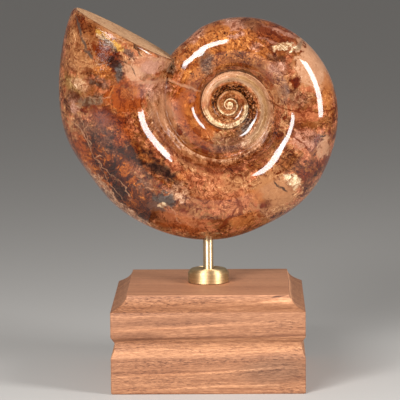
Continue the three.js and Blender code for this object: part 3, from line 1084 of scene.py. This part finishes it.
def stone():
    paint = Paint("polished_fossil")
    solid = paint.place_from((COIL_X, 0.0, COIL_Z))
    x, y, z = paint.split(solid)
    seen = paint.join(x, z)
    spiral = paint.node("ShaderNodeUVMap", uv_map="spiral").outputs["UV"]
    back, across, _ = paint.split(spiral)
    in_middle = paint.between(back, *MIDDLE_STARTS)

    # The unseen side carries the same patches turned round the coil's middle
    on_far_side = paint.maths("GREATER_THAN", y, FAR_SIDE)
    unseen = paint.turned(seen, FAR_SIDE_TURN)
    picture = paint.shifted(seen, paint.vector("SUBTRACT", unseen, seen), on_far_side)
    from_edge = paint.maths("ABSOLUTE", paint.maths("SUBTRACT", y, FAR_SIDE))
    patch_share = paint.between(from_edge, 0.0, 4.0)
    wide_bend = paint.bend(solid, 0.16, 3.0)
    fine_bend = paint.bend(solid, 0.5, 6.0, 0.66)
    smooth_at = paint.shifted(picture, wide_bend, 4.0)
    ragged_at = paint.shifted(smooth_at, fine_bend, 4.2)
    vein_at = paint.shifted(smooth_at, fine_bend, 1.8)

    colour = ground(paint, solid)
    patched = paint_patches(paint, ragged_at, colour, BY_THE_MOUTH + LEFT_SIDE + TOP + RIGHT_SIDE)
    colour = paint.mix(patch_share, colour, patched)

    # Colours that follow the coil
    ragged_spiral = paint.shifted(spiral, fine_bend, 0.14)
    ragged_back, ragged_across, _ = paint.split(ragged_spiral)
    colour = paint_bands(paint, ragged_back, ragged_across, colour, ALONG_THE_COIL, 0.03, 0.07)
    colour = paint_bands(paint, back, across, colour, SEAM_BANDS_LIGHT_AND_SHADE, 0.04, 0.02)
    colour = paint.tinted(in_middle, colour, INSIDE_TINT)
    ring = paint.times(paint.window(back, 1.02, 1.40, 0.05), paint.between(across, 0.62, 0.50))
    colour = paint.tinted(ring, colour, RING_TINT)

    colour = paint_deep_brown(paint, solid, smooth_at, colour)
    mottled = mottled_share(paint, smooth_at, back, across)
    colour = paint_groove(paint, solid, back, across, colour)
    colour = paint_stains(paint, solid, mottled, colour)
    colour = paint_streaks(paint, ragged_spiral, across, in_middle, colour)

    # Black specks in the orange top, and painted shadow along the seams between the turns from the top
    # inwards
    specks = paint.between(paint.noise(solid, 0.85, 4.0, 0.65), 0.62, 0.65)
    on_top = paint.spot(smooth_at, (-4, 21), (19, 12), 15, 0.4)
    colour = paint.mix(paint.times(specks, on_top), colour, DARK)
    seam = paint.times(paint.between(across, 0.10, 0.035), paint.between(back, 0.66, 0.78))
    colour = paint.tinted(seam, colour, SEAM_SHADOW_TINT)

    colour = paint_fibres(paint, ragged_at, colour)
    colour = paint_healed_cracks(paint, solid, mottled, colour)
    colour = paint_veins(paint, vein_at, colour, patch_share)

    # The polish is broken over the crushed part by the mouth, in the notch and inside the coil
    crushed = paint.spot(smooth_at, (-51, 28), (15, 12), -30, 0.4)
    in_notch = paint.spot(smooth_at, (-21, 12.5), (4.5, 7), 0, 0.3)
    still_polished = paint.window(back, 2.30, 2.54, 0.04)
    inside = paint.times(paint.between(back, 1.49, 1.56), paint.maths("SUBTRACT", 0.9, still_polished))
    dull = paint.maths("MAXIMUM", paint.times(crushed, 0.65), paint.maths("MAXIMUM", in_notch, inside))
    relief = paint.noise(solid, 0.45, 5.0, 0.6)
    normal = paint.bump(relief, paint.maths("MULTIPLY_ADD", crushed, 0.22, 0.02), 0.0009)
    shader = paint.surface(colour, 0.45, normal, Coat_Weight=1.0, Coat_Roughness=0.03, Specular_IOR_Level=0.0)
    paint.put(shader.inputs["Coat Normal"], normal)
    paint.put(shader.inputs["Coat Weight"], paint.maths("MULTIPLY_ADD", dull, -0.96, 1.0))
    return paint.material


def cut_stone():
    """The sawn face of the mouth, dull and pale."""
    paint = Paint("sawn_fossil")
    solid = paint.place_from((0.0, 0.0, 0.0))
    mottle = paint.noise(solid, 0.25, 7.0, 0.7, 0.5)
    colour = paint.mix(paint.between(mottle, 0.44, 0.62), SAWN_PALE, SAWN_DARK)
    flecks = paint.between(paint.noise(solid, 0.7, 6.0, 0.7), 0.52, 0.58)
    colour = paint.tinted(flecks, colour, SAWN_FLECK_TINT)
    paint.surface(colour, 0.6, paint.bump(mottle, 0.15, 0.0005), Specular_IOR_Level=0.2)
    return paint.material


# Wood of the block: its two colours, and the share of the sides' grain that its top shows
WOOD_PALE = (0.385, 0.170, 0.080)
WOOD_DARK = (0.320, 0.135, 0.062)
GRAIN_ON_TOP = 0.35
# Painted light: the top is lightened where it faces up to the lamps
TOP_PAINTED_LIGHT_TINT = (1.25, 1.25, 1.30)

# Streaks and the chip on the block's sides, a painted shadow line under the upper slab and a band of
# painted light on the groove's lower slope: middle across and up, half size, tilt, edge, tint
WOOD_MARKS_LIGHT_AND_SHADE = (
    ((-16, 29.3), (26, 1.5), 0.5, 0.6, (0.66, 0.60, 0.56)),
    ((-27, 23.4), (10, 1.7), -2, 0.6, (0.66, 0.60, 0.56)),
    ((26, 8.0), (13, 4.5), 2, 0.6, (0.74, 0.78, 0.84)),
    ((-20, 9.0), (15, 3.0), 0, 0.6, (0.85, 0.80, 0.76)),
    ((0, 8.0), (36, 0.5), 1.5, 0.6, (1.5, 1.6, 1.65)),
    ((5, 2.4), (34, 0.45), 2.0, 0.6, (1.4, 1.5, 1.55)),
    # Painted shadow: a dark line under the upper slab's lower edge
    ((0, 21.9), (60, 0.5), 0, 0.6, (0.60, 0.52, 0.47)),
    ((-10, 26.6), (34, 0.4), 1.0, 0.6, (1.35, 1.4, 1.45)),
    # Painted light: a lighter band on the groove's lower slope, which faces up
    ((0, 16.2), (60, 2.2), 0, 0.6, (1.30, 1.36, 1.32)),
    ((27.8, 35.3), (6.8, 0.65), 0, 0.25, (1.5, 1.6, 1.7)),
    ((31.2, 35.1), (3.2, 1.0), -6, 0.25, (1.25, 1.3, 1.34)),
    ((28.4, 36.7), (2.8, 0.3), 6, 0.25, (0.32, 0.26, 0.23)),
)


def wood():
    paint = Paint("bare_wood")
    solid = paint.place_from((0.0, 0.0, 0.0))
    bend = paint.bend(paint.stretched(solid, (0.012, 0.03, 0.03)), 1.0, 2.0)
    bent = paint.vector("ADD", solid, paint.vector("MULTIPLY", bend, (0.0, 9.0, 7.0)))
    bent = paint.stretched(bent, (1.0, 1.0, 1.0), (0.0, math.radians(1.5), 0.0))

    def grain(scale, detail, roughness):
        return paint.noise(paint.stretched(bent, scale), 1.0, detail, roughness)

    bands = grain((0.006, 0.16, 0.20), 3.0, 0.5)
    lines = grain((0.010, 1.1, 1.7), 4.0, 0.6)
    fibres = grain((0.36, 3.0, 4.2), 4.0, 0.75)
    pores = grain((0.60, 3.2, 4.4), 2.0, 0.5)
    porous = paint.between(grain((0.02, 0.20, 0.26), 2.0, 0.5), 0.40, 0.60)
    on_top = paint.between(paint.split(solid)[2], BLOCK_HEIGHT - 0.3, BLOCK_HEIGHT - 0.1)
    grain_share = paint.maths("SUBTRACT", 1.0, paint.times(on_top, 1.0 - GRAIN_ON_TOP))
    colour = paint.mix(paint.between(bands, 0.36, 0.64), WOOD_PALE, WOOD_DARK)
    for share, tint in (
        (paint.between(lines, 0.53, 0.57), (0.82, 0.76, 0.72)),
        (paint.between(lines, 0.43, 0.38), (1.16, 1.19, 1.21)),
        (paint.between(fibres, 0.50, 0.57), (0.72, 0.65, 0.60)),
        (paint.between(fibres, 0.47, 0.40), (1.20, 1.23, 1.26)),
        (paint.times(paint.between(pores, 0.54, 0.60), porous), (0.48, 0.40, 0.36)),
    ):
        colour = paint.tinted(paint.times(share, grain_share), colour, tint)

    x, _, z = paint.split(bent)
    front = paint.join(x, z)
    on_sides = paint.between(on_top, 0.5, 0.4)
    # Streaks, the chip, a painted shadow line and a band of painted light
    for middle, size, tilt, edge, tint in WOOD_MARKS_LIGHT_AND_SHADE:
        mark_and_painted_light = paint.times(paint.spot(front, middle, size, tilt, edge), on_sides)
        colour = paint.tinted(mark_and_painted_light, colour, tint)
    # Painted light on the top
    colour = paint.tinted(on_top, colour, TOP_PAINTED_LIGHT_TINT)
    height = paint.maths("SUBTRACT", 1.0, paint.between(pores, 0.60, 0.70))
    height = paint.maths("ADD", height, paint.times(fibres, 0.5))
    paint.surface(colour, 0.62, paint.bump(height, 0.35, 0.0002))
    return paint.material


COLLAR_BRASS = (0.93, 0.68, 0.37)
PIN_BRASS = (0.94, 0.74, 0.45)


def brass(name, colour, roughness):
    """Turned brass, with fine rings round its axis."""
    paint = Paint(name)
    solid = paint.place_from((PIN_X, 0.0, 0.0))
    x, y, z = paint.split(solid)
    from_axis = paint.vector("LENGTH", paint.join(x, y))
    turned = paint.noise(paint.join(from_axis, z), 4.0, 3.0, 0.6)
    worn = paint.noise(solid, 0.5, 4.0, 0.6)
    shade = paint.tinted(paint.between(worn, 0.45, 0.65), colour, (0.94, 0.92, 0.88))
    shade = paint.tinted(paint.between(turned, 0.48, 0.6), shade, (0.88, 0.86, 0.82))
    rough = paint.between(worn, 0.35, 0.7, roughness - 0.03, roughness + 0.05)
    normal = paint.bump(turned, 0.06, 0.00005)
    shader = paint.surface(shade, rough, normal, Metallic=1.0, Anisotropic=0.85, Anisotropic_Rotation=0.25)
    around = paint.node("ShaderNodeTangent", direction_type="RADIAL", axis="Z")
    paint.put(shader.inputs["Tangent"], around.outputs[0])
    return paint.material


def paint_piece(made, *materials):
    for material in materials:
        made.data.materials.append(material)


paint_piece(ammonite, stone(), cut_stone())
paint_piece(block, wood())
paint_piece(collar, brass("turned_brass", COLLAR_BRASS, 0.58))
paint_piece(pin, brass("drawn_brass", PIN_BRASS, 0.44))


# Studio

FLOOR_REACH = 6000.0
FLOOR_COLOUR = (0.52, 0.50, 0.475)
ROOM_COLOUR = (1.0, 0.98, 0.96)
ROOM_BRIGHTNESS = 0.22

# Strip lights: name, azimuth and elevation of foot and head round the shell in degrees, distance and
# width in metres, brightness
STRIPS = (
    ("left_strip", (-30, -1), (-33, 21), 0.6, 0.13, 20.0),
    ("left_bar", (-42, 20), (-11, 24), 0.6, 0.15, 20.0),
    ("right_strip", (57, -4), (57, 33), 0.55, 0.145, 19.0),
)


# Camera: place in millimetres; pitch, yaw and roll in degrees; lens in millimetres
CAMERA_PLACE = Vector((14.9, -1063.6, 215.9))
CAMERA_ANGLES = (7.79, 0.98, 0.45)
CAMERA_LENS = 244.7


def make_floor():
    corners = [(-1, -1, 0), (1, -1, 0), (1, 1, 0), (-1, 1, 0)]
    floor = new_object("floor", np.array(corners) * FLOOR_REACH, [[0, 1, 2, 3]])
    paint = Paint("pale_floor")
    paint.surface(FLOOR_COLOUR, 0.7)
    paint_piece(floor, paint.material)


def placed(name, data, place, right, up, back):
    """An object at place whose own axes run along right, up and back."""
    made = bpy.data.objects.new(name, data)
    made.matrix_world = Matrix.Translation(place) @ Matrix((right, up, back)).transposed().to_4x4()
    bpy.context.scene.collection.objects.link(made)
    return made


def round_the_shell(azimuth, elevation, distance):
    """A point round the shell: azimuth 0 is in front, positive to the right."""
    a, e = math.radians(azimuth), math.radians(elevation)
    away = Vector((math.sin(a) * math.cos(e), -math.cos(a) * math.cos(e), math.sin(e)))
    return Vector((COIL_X, 0.0, COIL_Z)) * MM + away * distance


def strip_light(name, foot, head, width, brightness):
    """A soft strip light whose middle line runs from foot to head, facing the shell."""
    middle = (foot + head) / 2
    along = (head - foot).normalized()
    towards = Vector((COIL_X, 0.0, COIL_Z)) * MM - middle
    back = -(towards - along * towards.dot(along)).normalized()
    across = along.cross(back)
    data = bpy.data.lights.new(name, "AREA")
    data.shape = "RECTANGLE"
    data.size = width
    data.size_y = (head - foot).length
    data.energy = brightness * math.pi * data.size * data.size_y
    placed(name, data, middle, across, along, back)


def make_world():
    world = bpy.data.worlds.new("soft_room")
    world.use_nodes = True
    background = world.node_tree.nodes["Background"]
    background.inputs["Color"].default_value = (*ROOM_COLOUR, 1.0)
    background.inputs["Strength"].default_value = ROOM_BRIGHTNESS
    bpy.context.scene.world = world


def make_camera():
    """The camera looks down by its pitch, to the left by its yaw and leans over by its roll."""
    pitch, yaw, roll = (math.radians(angle) for angle in CAMERA_ANGLES)
    forward = Vector((-math.sin(yaw) * math.cos(pitch), math.cos(yaw) * math.cos(pitch), -math.sin(pitch)))
    level_right = Vector((math.cos(yaw), math.sin(yaw), 0.0))
    level_up = level_right.cross(forward)
    right = level_right * math.cos(roll) - level_up * math.sin(roll)
    up = level_right * math.sin(roll) + level_up * math.cos(roll)
    data = bpy.data.cameras.new("camera")
    data.sensor_width = 36.0
    data.lens = CAMERA_LENS
    data.clip_start = 0.05
    data.clip_end = 30.0
    bpy.context.scene.camera = placed("camera", data, CAMERA_PLACE * MM, right, up, -forward)


make_floor()
make_world()
for name, foot, head, distance, width, brightness in STRIPS:
    strip_light(name, round_the_shell(*foot, distance), round_the_shell(*head, distance), width, brightness)
make_camera()
bpy.context.scene.view_settings.view_transform = "Standard"
